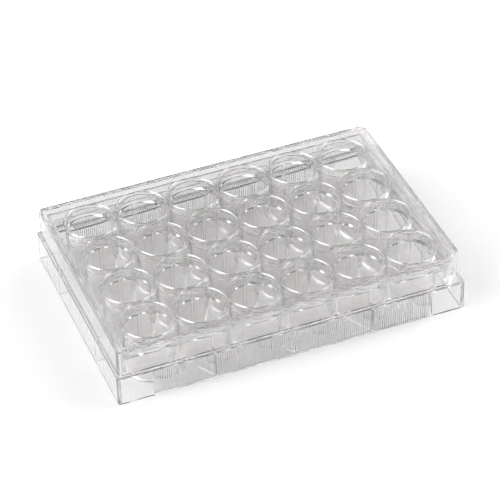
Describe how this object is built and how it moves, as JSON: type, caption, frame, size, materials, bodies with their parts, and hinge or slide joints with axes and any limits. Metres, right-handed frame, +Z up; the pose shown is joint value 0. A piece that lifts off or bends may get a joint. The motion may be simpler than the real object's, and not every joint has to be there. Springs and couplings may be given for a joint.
{
  "type": "covered multiwell plate",
  "caption": "Clear moulded culture plate with a grid of round flat-bottomed wells, a ribbed grip skirt and a loose clear lid.",
  "frame": {"origin": "middle of the footprint, on the surface that the skirt stands on", "axes": "+X along the six columns, toward the end with the cut lid corners; +Y across the four rows; +Z up"},
  "size_m": [0.1278, 0.0854, 0.022],
  "materials": {
    "clear_plate": "clear polished polystyrene",
    "clear_lid": "clear polished polystyrene"
  },
  "bodies": {
    "root": {"plate": "clear_plate", "lid": "clear_lid"}
  },
  "joints": []
}
